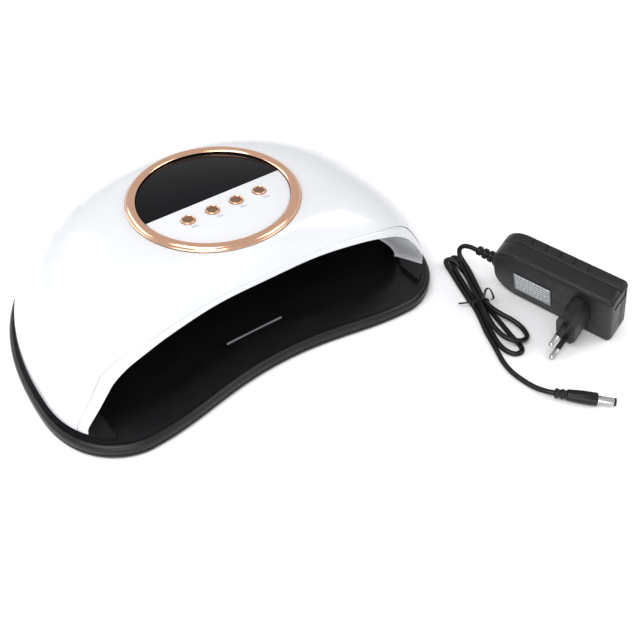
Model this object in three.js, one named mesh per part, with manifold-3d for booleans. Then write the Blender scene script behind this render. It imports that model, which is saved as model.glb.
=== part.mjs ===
// A two-hand UV LED nail lamp with its power adapter, in millimetres.
// X is the width, -Y the open front, Z up; the origin is the middle of the lamp's footprint.
import * as THREE from "three";
import { mergeVertices } from "three/addons/utils/BufferGeometryUtils.js";
import Module from "manifold-3d";

const wasm = await Module();
wasm.setup();

// ---- Driving dimensions -------------------------------------------------------------------
const gap = 0.3; // air left between pieces that touch

const baseWidth = 300;
const baseDepth = 230;
const frontHollow = 12.7; // how far the bean-shaped front edge curves back at the middle
const lobeX = 104; // half the distance between the two front lobes
const widestY = -52.6; // where the base is widest

const footHeight = 1.5;
const footRadius = 8;
const plateThick = 2.4;
const trayRim = 10.6; // height of the bead round the tray
const trayLedge = 10; // height of the ledge that the lamp's head stands on
const trayFloor = 4.6;

const headFrameThick = 3.4;
const shellInset = 5.7; // from the edge of the base to the foot of the shell
const shellWall = 2.5;
const shellTop = 96;

const ringY = -30; // centre of the round control panel
const ringRadius = 56.7;
const ringInner = 49.8;
const ringRise = 3.4;

const archHalf = 133.3; // half the width of the hand opening at its foot
const archTop = 70.5; // height of the hand opening
const shoulderIn = 21; // from the foot of the opening in to its shoulder
const shoulderDown = 20.5; // from the top of the opening down to its shoulder
const bezelLip = 4; // white lip between the opening and the shell
const bezelWall = 2.2;
const bezelBackY = -72;
const funnelSide = 10; // how far the bezel closes in behind the lip, at the foot
const funnelTop = 7; // the same at the top

const linerInset = 13; // from the shell to the liner, at the foot
const linerBackInset = 26; // room for the socket behind the liner
const linerWall = 2;
const linerDrop = 16; // from the top of the shell down to the top of the liner
const linerTopRadius = 46;

const ledRadius = 4.5;
const ledPitch = 20;
const boardThick = 1.6;

const panelThick = 2;
const buttonRadius = 4.5;
const buttonPitch = 17.6;
const buttonDrop = 12.4; // from the window's edge to the row of buttons
const buttonTravel = 0.6;
const buttonClear = 0.3;

const socketHeight = 26;
const plugRadius = 2.75; // outside of the low-voltage plug's barrel

const adapterLength = 92.5;
const adapterHeight = 53; // of the face that carries the mains pins
const adapterDepth = 22;
const adapterWall = 2;
const adapterEdge = 3; // radius of the long edges
const adapterTilt = 22; // degrees: it lies propped on its lower pin
const adapterTurn = 13; // degrees
const adapterX = 173.1; // of a lamp as wide as besideWidth
const adapterY = -129.3;
const besideWidth = 300; // the adapter and cord move sideways as the lamp gets wider than this
const pinRadius = 2;
const pinSpacing = 19;
const pinLength = 19;
const plugBlockDepth = 19;
const cordDiameter = 3.6;

// ---- Values worked out from them ------------------------------------------------------------
const plateBottom = footHeight - gap;
const plateTop = plateBottom + plateThick;
const trayBottom = plateTop + gap;
const frameBottom = trayLedge + gap;
const frameTop = frameBottom + headFrameThick;
const shellBottom = frameTop + gap;
const linerTop = shellTop - linerDrop;
const panelTop = shellTop + 1.4;
const panelBottom = panelTop - panelThick;
const windowY = ringY - 1; // the straight edge between the display window and the white panel
const rad = THREE.MathUtils.degToRad;

// ---- Materials --------------------------------------------------------------------------------
const plastic = (color, roughness) => new THREE.MeshStandardMaterial({ color, roughness });
const metal = (color, roughness) =>
  new THREE.MeshStandardMaterial({ color, roughness, metalness: 1 });
const materials = {
  white: plastic(0xf1f2f4, 0.18),
  black: plastic(0x17181a, 0.42),
  glossBlack: plastic(0x08080a, 0.06),
  roseGold: metal(0xd99a78, 0.22),
  steel: metal(0xc4c6c8, 0.3),
  board: plastic(0x1d5b3a, 0.5),
  ledBoard: plastic(0xe8e8e2, 0.4),
  rubber: plastic(0x202022, 0.8),
  label: plastic(0xb9bcc0, 0.45),
  copper: plastic(0xb87433, 0.4),
};

// ---- Solids -----------------------------------------------------------------------------------
// A closed three.js geometry as a solid that can be cut and joined.
function solid(geometry) {
  const bare = geometry.index ? geometry.toNonIndexed() : geometry.clone();
  for (const name of Object.keys(bare.attributes)) {
    if (name !== "position") bare.deleteAttribute(name);
  }
  const merged = mergeVertices(bare, 1e-4);
  return new wasm.Manifold(
    new wasm.Mesh({
      numProp: 3,
      vertProperties: merged.attributes.position.array,
      triVerts: new Uint32Array(merged.index.array),
    }),
  );
}

// A solid as a three.js geometry.
function geometryOf(body) {
  const mesh = body.getMesh();
  const geometry = new THREE.BufferGeometry();
  geometry.setAttribute("position", new THREE.BufferAttribute(mesh.vertProperties, 3));
  geometry.setIndex(new THREE.BufferAttribute(mesh.triVerts, 1));
  return geometry;
}

const group = new THREE.Group();

function place(name, body, material, parent = group) {
  const mesh = new THREE.Mesh(geometryOf(body), material);
  mesh.name = name;
  parent.add(mesh);
  return mesh;
}

function box(low, high) {
  const size = high.map((value, k) => value - low[k]);
  const middle = high.map((value, k) => (value + low[k]) / 2);
  return solid(new THREE.BoxGeometry(...size).translate(...middle));
}

// A cylinder standing on (x, y) from z = low to z = high.
function rod(radius, x, y, low, high, sides = 20) {
  const shape = new THREE.CylinderGeometry(radius, radius, high - low, sides);
  return solid(shape.rotateX(Math.PI / 2).translate(x, y, (low + high) / 2));
}

// A turned piece about the Z axis, from [radius, z] pairs listed from its underside outwards and up.
function turned(profile, sides = 32) {
  const points = profile.map(([radius, z]) => new THREE.Vector2(radius, z));
  return solid(new THREE.LatheGeometry(points, sides).rotateX(Math.PI / 2));
}

// A closed body through level loops of the same point count, from the lowest to the highest.
function loft(levels) {
  const count = levels[0].length;
  const positions = [];
  const indices = [];
  for (const level of levels) level.forEach((p) => positions.push(p.x, p.y, p.z));
  for (let row = 0; row + 1 < levels.length; row++) {
    for (let i = 0; i < count; i++) {
      const a = row * count + i;
      const b = row * count + ((i + 1) % count);
      indices.push(a, b, b + count, a, b + count, a + count);
    }
  }
  const middle = (level) =>
    level.reduce((sum, p) => sum.add(p), new THREE.Vector3()).divideScalar(count);
  const low = positions.length / 3;
  const last = (levels.length - 1) * count;
  positions.push(...middle(levels[0]).toArray(), ...middle(levels.at(-1)).toArray());
  for (let i = 0; i < count; i++) {
    const j = (i + 1) % count;
    indices.push(low, j, i, low + 1, last + i, last + j);
  }
  const geometry = new THREE.BufferGeometry();
  geometry.setAttribute("position", new THREE.Float32BufferAttribute(positions, 3));
  geometry.setIndex(indices);
  return solid(geometry);
}

// ---- The bean-shaped outline, and the dome that stands on it -------------------------------------
// Points of a cubic curve, without its last one.
function curvePoints(a, b, c, d, steps) {
  const curve = new THREE.CubicBezierCurve(...[a, b, c, d].map((p) => new THREE.Vector2(...p)));
  return curve.getPoints(steps).slice(0, -1);
}

// The outline of the base moved inwards, anticlockwise from the middle of the front edge.
function outline(inset, backInset = inset) {
  const halfWidth = baseWidth / 2 - inset;
  const lobeY = -baseDepth / 2 + inset;
  const hollowY = lobeY + frontHollow;
  const backY = baseDepth / 2 - backInset;
  const lobe = lobeX - 0.45 * inset;
  const corner = 0.8 * (widestY - lobeY);
  const half = [
    ...curvePoints([0, hollowY], [44, hollowY], [lobe - 37, lobeY], [lobe, lobeY], 6),
    ...curvePoints(
      [lobe, lobeY], [lobe + 13, lobeY], [halfWidth, widestY - corner], [halfWidth, widestY], 6,
    ),
  ];
  const backSteps = 11;
  for (let i = 0; i <= backSteps; i++) {
    const turn = (i / backSteps) * (Math.PI / 2);
    const x = halfWidth * Math.cos(turn) ** (2 / 2.3);
    const y = widestY + (backY - widestY) * Math.sin(turn) ** (2 / 2.3);
    half.push(new THREE.Vector2(i === backSteps ? 0 : x, y));
  }
  const mirrored = half.slice(1, -1).map((p) => new THREE.Vector2(-p.x, p.y));
  return [...half, ...mirrored.reverse()];
}

// Numbers of the outline's points: the two widest ones and the middle of the back.
const outlineCount = outline(0).length;
const rightSide = 12;
const backMiddle = outlineCount / 2;
const leftSide = outlineCount - rightSide;

const atHeight = (points, z) => points.map((p) => new THREE.Vector3(p.x, p.y, z));

// How full the dome's profile is: less so towards the back.
function fullness(direction) {
  return 1.8 - 0.5 * Math.max(direction.y, 0) ** 2;
}

// One size of dome: its foot outline, its flat round top and their heights.
function domeShape(inset, topZ, topRadius, backInset = inset) {
  const centre = new THREE.Vector2(0, ringY);
  const columns = outline(shellInset + inset, shellInset + backInset).map((foot) => {
    const direction = foot.clone().sub(centre).normalize();
    const top = centre.clone().addScaledVector(direction, topRadius);
    return { foot, top, power: fullness(direction) };
  });
  return { columns, topZ };
}

// The point of a dome's column that is the fraction t of the way in from its foot to its top.
function domePoint(dome, column, t) {
  const { foot, top, power } = column;
  const plan = foot.clone().lerp(top, t);
  const rise = (1 - (1 - t) ** power) ** (1 / power);
  return new THREE.Vector3(plan.x, plan.y, shellBottom + (dome.topZ - shellBottom) * rise);
}

// The point of a dome's column at the height z.
function domeAt(dome, column, z) {
  const rise = (z - shellBottom) / (dome.topZ - shellBottom);
  const t = 1 - (1 - rise ** column.power) ** (1 / column.power);
  return domePoint(dome, column, t);
}

function domeSolid(dome, steps, below = 0) {
  const levels = [];
  if (below) levels.push(atHeight(dome.columns.map((c) => c.foot), shellBottom - below));
  for (let i = 0; i <= steps; i++) {
    const t = 1 - Math.cos((i / steps) * (Math.PI / 2));
    levels.push(dome.columns.map((column) => domePoint(dome, column, t)));
  }
  return loft(levels);
}

const outerDome = domeShape(0, shellTop, ringRadius);
const innerDome = domeShape(shellWall, shellTop - shellWall, ringRadius - 1);
const linerDome = domeShape(linerInset, linerTop, linerTopRadius, linerBackInset);
const cavityDome = domeShape(
  linerInset + linerWall, linerTop - linerWall, linerTopRadius - 1, linerBackInset + linerWall,
);

// ---- The hand opening ---------------------------------------------------------------------------
// Points (x, z) of the opening from its right foot over the top to its left foot, grown outwards.
function archProfile(growSide, growTop, count) {
  const foot = archHalf + growSide;
  const top = archTop + growTop;
  const shoulder = [foot - shoulderIn, top - shoulderDown];
  const slope = [0.73, -0.68]; // the way the edge runs at its shoulder, outwards
  const before = shoulder.map((value, k) => value - 23.6 * slope[k]);
  const after = shoulder.map((value, k) => value + 6.7 * slope[k]);
  const flat = 72.5; // how far the top's curve keeps level
  const ankle = [foot + 1.6, shellBottom + 7];
  const path = new THREE.Path();
  path.moveTo(foot, shellBottom);
  path.bezierCurveTo(...ankle, ...after, ...shoulder);
  path.bezierCurveTo(...before, flat, top, 0, top);
  path.bezierCurveTo(-flat, top, -before[0], before[1], -shoulder[0], shoulder[1]);
  path.bezierCurveTo(-after[0], after[1], -ankle[0], ankle[1], -foot, shellBottom);
  return path.getSpacedPoints(count);
}

// The y of the dome's front at (x, z).
function frontY(x, z) {
  const front = outerDome.columns.slice(0, rightSide + 1);
  const row = front.map((column) => domeAt(outerDome, column, z));
  const side = Math.abs(x);
  const next = row.findIndex((p) => p.x >= side);
  if (next < 1) return row[0].y;
  const [a, b] = [row[next - 1], row[next]];
  return a.y + ((b.y - a.y) * (side - a.x)) / (b.x - a.x);
}

// A bar with the opening's outline, from y = front to y = back.
function archBar(growSide, growTop, front, back, below) {
  const points = archProfile(growSide, growTop, 48);
  const shape = new THREE.Shape(points.map((p) => new THREE.Vector2(p.x, p.y)));
  shape.lineTo(-archHalf - growSide, shellBottom - below);
  shape.lineTo(archHalf + growSide, shellBottom - below);
  const bar = new THREE.ExtrudeGeometry(shape, { depth: back - front, bevelEnabled: false });
  return solid(bar.rotateX(Math.PI / 2).translate(0, back, 0));
}

// The white bezel: a lip on the dome's face that runs back into a funnel.
function bezel() {
  const count = 44;
  const seam = archProfile(bezelLip, bezelLip, count);
  const fold = archProfile(0, 0, count);
  const inner = archProfile(-funnelSide, -funnelTop, count);
  const outer = archProfile(-funnelSide + bezelWall, -funnelTop + bezelWall, count);
  const sections = seam.map((_, i) => [
    new THREE.Vector3(seam[i].x, frontY(seam[i].x, seam[i].y), seam[i].y),
    new THREE.Vector3(fold[i].x, frontY(fold[i].x, fold[i].y), fold[i].y),
    new THREE.Vector3(inner[i].x, bezelBackY, inner[i].y),
    new THREE.Vector3(outer[i].x, bezelBackY, outer[i].y),
  ]);
  return loft(sections.map((section) => section.reverse()));
}

// ---- The lamp's head ------------------------------------------------------------------------------
// Everything that lifts off the base.
const socketBack = domeAt(outerDome, outerDome.columns[backMiddle], socketHeight).y;
const socketRadius = 5.5;

function shell() {
  const skin = domeSolid(outerDome, 9).subtract(domeSolid(innerDome, 9, 5));
  return skin
    .subtract(archBar(bezelLip + gap, bezelLip + gap, -baseDepth, bezelBackY + 12, 5))
    .subtract(rod(ringInner + 3.2, 0, ringY, shellTop - 10, shellTop + 5, 44))
    .subtract(solid(
      new THREE.CylinderGeometry(socketRadius + gap, socketRadius + gap, 40, 20)
        .translate(0, socketBack, socketHeight),
    ));
}

// LED positions on a board, as offsets from its middle.
function beadGrid(columns, rows) {
  const spots = [];
  for (let i = 0; i < columns; i++) {
    for (let j = 0; j < rows; j++) {
      spots.push([(i - (columns - 1) / 2) * ledPitch, (j - (rows - 1) / 2) * ledPitch]);
    }
  }
  return spots;
}

// Where an LED board lies on the liner: along its face, up it, and out of the cavity.
function boardFrame(index, height, offset) {
  const [before, column, next] = [index - 1, index, index + 1].map((k) => linerDome.columns[k]);
  const point = domeAt(linerDome, column, height);
  const along = domeAt(linerDome, next, height).sub(domeAt(linerDome, before, height)).normalize();
  const up = domeAt(linerDome, column, height + 4).sub(point).normalize();
  const out = along.clone().cross(up).normalize();
  const rise = out.clone().cross(along).normalize();
  const basis = new THREE.Matrix4().makeBasis(along, rise, out);
  return basis.setPosition(point.addScaledVector(out, offset));
}

const sideStand = 3.6; // from the liner's wall to a side board
const topFrame = new THREE.Matrix4().makeTranslation(0, ringY, linerTop + gap);
const boards = {
  led_board_top: { frame: topFrame, columns: 4, rows: 3, beadIn: linerWall + gap + 0.8, edge: 9 },
  led_board_right: { frame: boardFrame(rightSide + 2, 36, sideStand), columns: 3, rows: 1, edge: 9 },
  led_board_left: { frame: boardFrame(leftSide - 2, 36, sideStand), columns: 3, rows: 1, edge: 9 },
  led_board_back: { frame: boardFrame(backMiddle, 38, sideStand), columns: 3, rows: 2, edge: 9 },
};

function ledBoard({ frame, columns, rows, beadIn = sideStand + linerWall + 0.8, edge }) {
  const halfX = ((columns - 1) / 2) * ledPitch + edge;
  const halfY = ((rows - 1) / 2) * ledPitch + edge;
  let body = box([-halfX, -halfY, 0], [halfX, halfY, boardThick]);
  for (const [x, y] of beadGrid(columns, rows)) {
    body = body.add(rod(ledRadius, x, y, -beadIn, 0.5, 8));
  }
  return body.transform(frame.elements);
}

// The holes that the beads look through.
function ledWindows({ frame, columns, rows }) {
  return beadGrid(columns, rows).map(([x, y]) =>
    rod(ledRadius + 0.7, x, y, -12, 1, 8).transform(frame.elements),
  );
}

function liner() {
  const behind = (y) => box([-baseWidth, y, -10], [baseWidth, baseDepth, 200]);
  const front = bezelBackY + gap;
  let body = domeSolid(linerDome, 6).intersect(behind(front));
  body = body.subtract(domeSolid(cavityDome, 6, 5).intersect(behind(front + linerWall)));
  body = body.subtract(archBar(-funnelSide, -funnelTop, front - 5, front + linerWall + 3, 5));
  for (const board of Object.values(boards)) {
    for (const hole of ledWindows(board)) body = body.subtract(hole);
  }
  return body.subtract(rod(3.3, 0, ringY, linerTop - 6, linerTop + 2, 12));
}

// The U-shaped frame under the shell, open between the two feet.
function headFrame() {
  const ring = (inset, low, high) =>
    loft([atHeight(outline(inset), low), atHeight(outline(inset), high)]);
  const open = archHalf - funnelSide - 3;
  return ring(shellInset + 0.6, frameBottom, frameTop)
    .subtract(ring(shellInset + linerInset + linerWall, frameBottom - 1, frameTop + 1))
    .subtract(box([-open, -baseDepth, 0], [open, widestY, 40]));
}

place("outer_shell", shell(), materials.white);
place("front_bezel", bezel(), materials.white);
place("inner_liner", liner(), materials.black);

const magnetSize = [12, 4.6, 2.2];
const magnetColumns = { left: leftSide - 2, right: rightSide + 1 };
let frameBody = headFrame();
const magnetSpots = {};
for (const [side, index] of Object.entries(magnetColumns)) {
  const edge = outline(shellInset + 4.6)[index];
  const next = outline(shellInset + 4.6)[index + 1];
  magnetSpots[side] = { x: edge.x, y: edge.y, turn: Math.atan2(next.y - edge.y, next.x - edge.x) };
}

// A block lying along the frame at one magnet's place.
function magnetBlock({ x, y, turn }, low, high, grow) {
  const [length, width] = magnetSize.map((value) => value / 2 + grow);
  const body = box([-length, -width, low], [length, width, high]);
  const matrix = new THREE.Matrix4().makeRotationZ(turn).setPosition(x, y, 0);
  return body.transform(matrix.elements);
}

for (const [side, spot] of Object.entries(magnetSpots)) {
  const low = frameBottom + 0.4;
  frameBody = frameBody.subtract(magnetBlock(spot, frameBottom - 1, low + magnetSize[2] + gap, gap));
  place(`head_magnet_${side}`, magnetBlock(spot, low, low + magnetSize[2], 0), materials.steel);
}
place("head_frame", frameBody, materials.black);

for (const [name, board] of Object.entries(boards)) {
  place(name, ledBoard(board), materials.ledBoard);
}

// ---- The round control panel ------------------------------------------------------------------------
const panel = new THREE.Group();
panel.position.set(0, ringY, 0);
group.add(panel);

const ringFoot = shellTop + gap;
place("display_ring", turned([
  [ringInner + 0.4, ringFoot - 4], [ringInner + 2.9, ringFoot - 4], [ringInner + 2.9, ringFoot],
  [ringRadius, ringFoot], [ringRadius - 0.5, ringFoot + 1.3], [ringRadius - 1.9, ringFoot + 2.6],
  [ringRadius - 3.6, ringFoot + ringRise], [ringRadius - 5.4, ringFoot + ringRise],
  [ringInner, ringFoot + 2.7], [ringInner, panelTop + gap], [ringInner + 0.4, panelTop + gap],
  [ringInner + 0.4, ringFoot - 4],
], 44), materials.roseGold, panel);

// A half disc that fills the ring on one side of the window's straight edge.
function halfPanel(side) {
  const disc = rod(ringInner - gap, 0, 0, panelBottom, panelTop, 44);
  const edge = windowY - ringY + (side * gap) / 2;
  const keep = side > 0 ? [edge, 80] : [-80, edge];
  return disc.intersect(box([-80, keep[0], 0], [80, keep[1], 200]));
}

const buttonY = windowY - ringY - buttonDrop;
const buttonXs = [-1.5, -0.5, 0.5, 1.5].map((step) => step * buttonPitch);
let whitePanel = halfPanel(-1);
for (const x of buttonXs) {
  whitePanel = whitePanel.subtract(rod(buttonRadius + buttonClear, x, buttonY, 80, 120, 24));
}
place("display_window", halfPanel(1), materials.glossBlack, panel);
place("button_panel", whitePanel, materials.white, panel);

// The cup that closes the panel off from the LED boards.
const cupBottom = linerTop + gap + boardThick + 1.2;
const cupTop = panelBottom - gap;
const cupWall = 1.6;
const boardRadius = ringInner - 5;
const boardLow = cupBottom + cupWall + gap;
const boardHigh = boardLow + boardThick;
const wireZ = boardHigh + 2;
const cup = turned([
  [0, cupBottom], [ringInner, cupBottom], [ringInner, cupTop], [ringInner - cupWall, cupTop],
  [ringInner - cupWall, cupBottom + cupWall], [0, cupBottom + cupWall],
], 36);
const wireNotch = box([-2.2, ringInner - 8, wireZ - 1.8], [2.2, ringInner + 5, cupTop + 1]);
place("display_housing", cup.subtract(wireNotch), materials.black, panel);

const chip = box([-8, -34, boardHigh - 0.2], [8, -24, boardHigh + 1.2]);
const controlBoard = rod(boardRadius, 0, 0, boardLow, boardHigh, 28).add(chip);
place("control_board", controlBoard, materials.board, panel);
place(
  "digit_display",
  box([-22, 8, boardHigh + gap], [22, 28, panelBottom - gap]),
  materials.glossBlack,
  panel,
);

// Each button has a cap in the panel, a flange under it and a stem over its switch.
const flangeTop = panelBottom - gap;
const switchTop = boardHigh + gap + 3;
const stemEnd = switchTop + buttonTravel + gap;
buttonXs.forEach((x, i) => {
  const cap = turned([
    [0, stemEnd], [1.6, stemEnd], [1.6, flangeTop - 1], [buttonRadius + 1.2, flangeTop - 1],
    [buttonRadius + 1.2, flangeTop], [buttonRadius, flangeTop], [buttonRadius, panelTop + 0.6],
    [buttonRadius - 0.7, panelTop + 1.2], [buttonRadius - 1.2, panelTop + 0.9], [0, panelTop + 0.9],
  ], 16);
  place(`button_${i + 1}`, cap, materials.roseGold, panel).position.set(x, buttonY, 0);
  const half = 3;
  const body = box([-half, -half, boardHigh + gap], [half, half, switchTop - 0.8]);
  const tact = body.add(rod(1.75, 0, 0, switchTop - 1, switchTop, 12));
  place(`tact_switch_${i + 1}`, tact, materials.steel, panel).position.set(x, buttonY, 0);
});

place(
  "hand_sensor",
  rod(2.8, 0, ringY, linerTop - 3, linerTop + gap - 0.1, 12),
  materials.glossBlack,
);

// ---- The socket and its wires -------------------------------------------------------------------------
const socketFront = socketBack - 13;
const socketMouth = plugRadius + 0.45;

function socket() {
  const tube = (radius, from, to, sides) =>
    solid(new THREE.CylinderGeometry(radius, radius, to - from, sides)
      .translate(0, (from + to) / 2, socketHeight));
  return box([-6.5, socketFront, socketHeight - 6.5], [6.5, socketFront + 4, socketHeight + 6.5])
    .add(tube(socketRadius, socketFront + 3, socketBack + 1.2, 20))
    .subtract(tube(socketMouth, socketFront + 2, socketBack + 5, 16))
    .add(tube(1, socketFront + 1, socketBack - 1, 10));
}
place("dc_jack", socket(), materials.black);

// A tube with flat ends along hand-picked points.
function tube(points, diameter, sides, steps) {
  const section = new THREE.Shape();
  for (let i = 0; i < sides; i++) {
    const turn = (i / sides) * 2 * Math.PI;
    const spot = [Math.cos(turn) * (diameter / 2), Math.sin(turn) * (diameter / 2)];
    if (i) section.lineTo(...spot);
    else section.moveTo(...spot);
  }
  const path = new THREE.CatmullRomCurve3(points.map((p) => new THREE.Vector3(...p)));
  return solid(new THREE.ExtrudeGeometry(section, { steps, extrudePath: path }));
}

// The wires climb the space between the liner and the shell, midway between the two.
const wireRadius = 1.2;
const wirePoints = [[0, socketFront - gap, socketHeight], [0, socketFront - 3, socketHeight]];
for (const z of [36, 46, 56, 66, 76]) {
  const outside = domeAt(innerDome, innerDome.columns[backMiddle], z).y;
  const inside = domeAt(linerDome, linerDome.columns[backMiddle], z).y;
  wirePoints.push([0, (outside + inside) / 2, z]);
}
wirePoints.push([0, ringY + ringInner + 6, wireZ], [0, ringY + boardRadius - 5, wireZ]);
place("power_wires", tube(wirePoints, 2 * wireRadius, 8, 20), materials.copper);

// ---- The base --------------------------------------------------------------------------------------------
const ledgeIn = shellInset + linerInset + linerWall + 1;
const traySection = [
  [0.8, trayBottom], [0, trayBottom + 0.8], [0, trayRim - 3.2], [0.8, trayRim - 1.1],
  [2.6, trayRim], [4.2, trayLedge], [ledgeIn, trayLedge], [ledgeIn + 5, trayLedge - 1.1],
  [ledgeIn + 11, trayLedge - 3.5], [ledgeIn + 17, trayFloor + 0.5], [ledgeIn + 23, trayFloor],
];

const screwSpots = [];
for (const index of [rightSide - 3, rightSide + 4, leftSide - 4, leftSide + 3]) {
  const p = outline(9)[index];
  screwSpots.push([p.x, p.y]);
}
const footSpots = [];
for (const index of [rightSide - 4, rightSide + 5, leftSide - 5, leftSide + 4]) {
  const p = outline(24)[index];
  footSpots.push([p.x, p.y]);
}

function tray() {
  let body = loft(traySection.map(([inset, z]) => atHeight(outline(inset), z)));
  const barHalf = 22.5;
  const barY = -69.5;
  body = body.add(box([-barHalf, barY - 1, trayFloor - 0.5], [barHalf, barY + 1, trayFloor + 2.4]));
  for (const spot of Object.values(magnetSpots)) {
    body = body.subtract(magnetBlock(spot, trayLedge - 1.8, trayLedge + 1, gap));
  }
  for (const [x, y] of screwSpots) body = body.subtract(rod(1.6, x, y, 0, trayLedge - 1.6, 12));
  return body;
}
place("base_tray", tray(), materials.black);

for (const [side, spot] of Object.entries(magnetSpots)) {
  const strike = magnetBlock(spot, trayLedge - 1.5, trayLedge - 0.2, 0);
  place(`strike_plate_${side}`, strike, materials.steel);
}

function plate() {
  const edge = atHeight(outline(0.6), plateBottom);
  let body = loft([edge, atHeight(outline(0.2), plateBottom + 0.6), atHeight(outline(0.2), plateTop)]);
  for (const [x, y] of footSpots) body = body.subtract(rod(footRadius + gap, x, y, 0, footHeight + gap));
  for (const [x, y] of screwSpots) {
    body = body.subtract(rod(3.4, x, y, 0, plateBottom + 1.4, 16)).subtract(rod(1.7, x, y, 0, 6, 12));
  }
  return body;
}
place("base_plate", plate(), materials.black);

footSpots.forEach(([x, y], i) => {
  const foot = turned([
    [0, 0], [footRadius - 0.5, 0], [footRadius, 0.5], [footRadius, footHeight], [0, footHeight],
  ], 20);
  place(`rubber_foot_${i + 1}`, foot, materials.rubber).position.set(x, y, 0);
});
screwSpots.forEach(([x, y], i) => {
  const head = plateBottom + 0.2;
  const screw = turned([
    [0, head], [2.9, head], [2.9, head + 0.9], [1.3, head + 0.9], [1.3, trayLedge - 2.2],
    [0, trayLedge - 2.2],
  ], 12);
  place(`plate_screw_${i + 1}`, screw, materials.steel).position.set(x, y, 0);
});

// ---- The power adapter ------------------------------------------------------------------------------------
// In its own frame the cord leaves at y = 0, the body runs to -Y and the pins point to -X.
const beside = new THREE.Group();
beside.position.x = (baseWidth - besideWidth) / 2;
group.add(beside);
const adapter = new THREE.Group();
const tilt = rad(adapterTilt);
const settle = -adapterEdge * (Math.cos(tilt) + Math.sin(tilt) - 1); // down onto its rounded edge
adapter.position.set(adapterX, adapterY, settle);
adapter.rotation.set(0, -tilt, rad(adapterTurn), "ZYX");
beside.add(adapter);

// Turns a flat outline's u into y, its v into z and its height into x.
const sideways = new THREE.Matrix4().makeBasis(
  new THREE.Vector3(0, 1, 0), new THREE.Vector3(0, 0, 1), new THREE.Vector3(1, 0, 0),
);

// The side view of the case: round corners, much larger where the cord leaves.
function caseShape(inset) {
  const [near, far] = [-inset, -adapterLength + inset];
  const [low, high] = [inset, adapterHeight - inset];
  const cordCorner = 19 - inset;
  const endCorner = 4 - inset;
  const shape = new THREE.Shape();
  shape.moveTo(near, low + cordCorner);
  shape.lineTo(near, high - cordCorner);
  shape.absarc(near - cordCorner, high - cordCorner, cordCorner, 0, Math.PI / 2);
  shape.absarc(far + endCorner, high - endCorner, endCorner, Math.PI / 2, Math.PI);
  shape.absarc(far + endCorner, low + endCorner, endCorner, Math.PI, 1.5 * Math.PI);
  shape.absarc(near - cordCorner, low + cordCorner, cordCorner, 1.5 * Math.PI, 2 * Math.PI);
  return shape;
}

// A closed body through that side view at several [inset, x] places.
function caseLoft(places) {
  const ordered = places.toSorted((a, b) => a[1] - b[1]);
  const loops = ordered.map(([inset, x]) =>
    caseShape(inset).getPoints(5).map((p) => new THREE.Vector3(p.x, p.y, x)),
  );
  return loft(loops.map((loop) => loop.slice(0, -1))).transform(sideways.elements);
}

// A lid-shaped half of the case with a rounded rim, open towards the other half.
function caseHalf(face, split) {
  const toward = Math.sign(split - face);
  const rounds = 3;
  const places = [[0, split]];
  for (let i = 0; i <= rounds; i++) {
    const turn = (i / rounds) * (Math.PI / 2);
    places.push([adapterEdge * (1 - Math.sin(turn)), face + toward * adapterEdge * (1 - Math.cos(turn))]);
  }
  const hollow = [[adapterWall, face + toward * adapterWall], [adapterWall, split + toward]];
  return caseLoft(places).subtract(caseLoft(hollow));
}

const caseSplit = 12.5; // from the pin face to the parting line
const cordZ = 24;
const cordX = 8.4;
const blockY = 13 - adapterLength + pinSpacing / 2;
const blockZ = 27.4;
const blockHalf = [7, 15.5];
const reliefLength = 18;
// A hole along Y where the strain relief passes through the end wall.
const reliefHole = () =>
  solid(new THREE.CylinderGeometry(3.3, 3.3, 10, 16).translate(cordX, -1, cordZ));
place(
  "adapter_case_front",
  caseHalf(0, caseSplit).subtract(reliefHole()),
  materials.black,
  adapter,
);
place(
  "adapter_case_back",
  caseHalf(adapterDepth, caseSplit + gap).subtract(reliefHole()),
  materials.black,
  adapter,
);

// The long six-sided block that carries the pins.
function plugBlock() {
  const [halfY, halfZ] = blockHalf;
  const shape = new THREE.Shape();
  shape.moveTo(halfY - 3.5, -halfZ);
  shape.lineTo(halfY, -halfZ + 7);
  shape.lineTo(halfY, halfZ - 7);
  shape.lineTo(halfY - 3.5, halfZ);
  shape.lineTo(-halfY + 3.5, halfZ);
  shape.lineTo(-halfY, halfZ - 7);
  shape.lineTo(-halfY, -halfZ + 7);
  shape.lineTo(-halfY + 3.5, -halfZ);
  const prism = new THREE.ExtrudeGeometry(shape, { depth: plugBlockDepth - gap, bevelEnabled: false });
  let body = solid(prism.applyMatrix4(sideways).translate(-plugBlockDepth, blockY, blockZ));
  for (const side of [-1, 1]) body = body.subtract(pinBar(side, 1.8, -plugBlockDepth - 1, -8, 12));
  return body;
}

// A round bar at one pin's place from x = low to x = high.
function pinBar(side, radius, low, high, sides = 16) {
  const bar = new THREE.CylinderGeometry(radius, radius, high - low, sides).rotateZ(Math.PI / 2);
  return solid(bar.translate((low + high) / 2, blockY, blockZ + (side * pinSpacing) / 2));
}

place("plug_block", plugBlock(), materials.black, adapter);
[1, -1].forEach((side, i) => {
  const root = -plugBlockDepth - gap;
  const tip = -plugBlockDepth - pinLength;
  const sleeveEnd = root - pinLength * 0.5;
  const sleeve = pinBar(side, pinRadius - 0.05, sleeveEnd, root).subtract(
    pinBar(side, 1.7, sleeveEnd - 1, root + 1, 12),
  );
  place(`pin_sleeve_${i + 1}`, sleeve, materials.black, adapter);
  const end = turned([
    [0, tip], [1.1, tip + 0.3], [1.8, tip + 1.2], [pinRadius, tip + 2], [pinRadius, sleeveEnd - gap],
    [1.4, sleeveEnd - gap], [1.4, -9], [0, -9],
  ], 16);
  const pin = place(`plug_pin_${i + 1}`, end, materials.steel, adapter);
  pin.rotation.y = Math.PI / 2;
  pin.position.set(0, blockY, blockZ + (side * pinSpacing) / 2);
});

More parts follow.
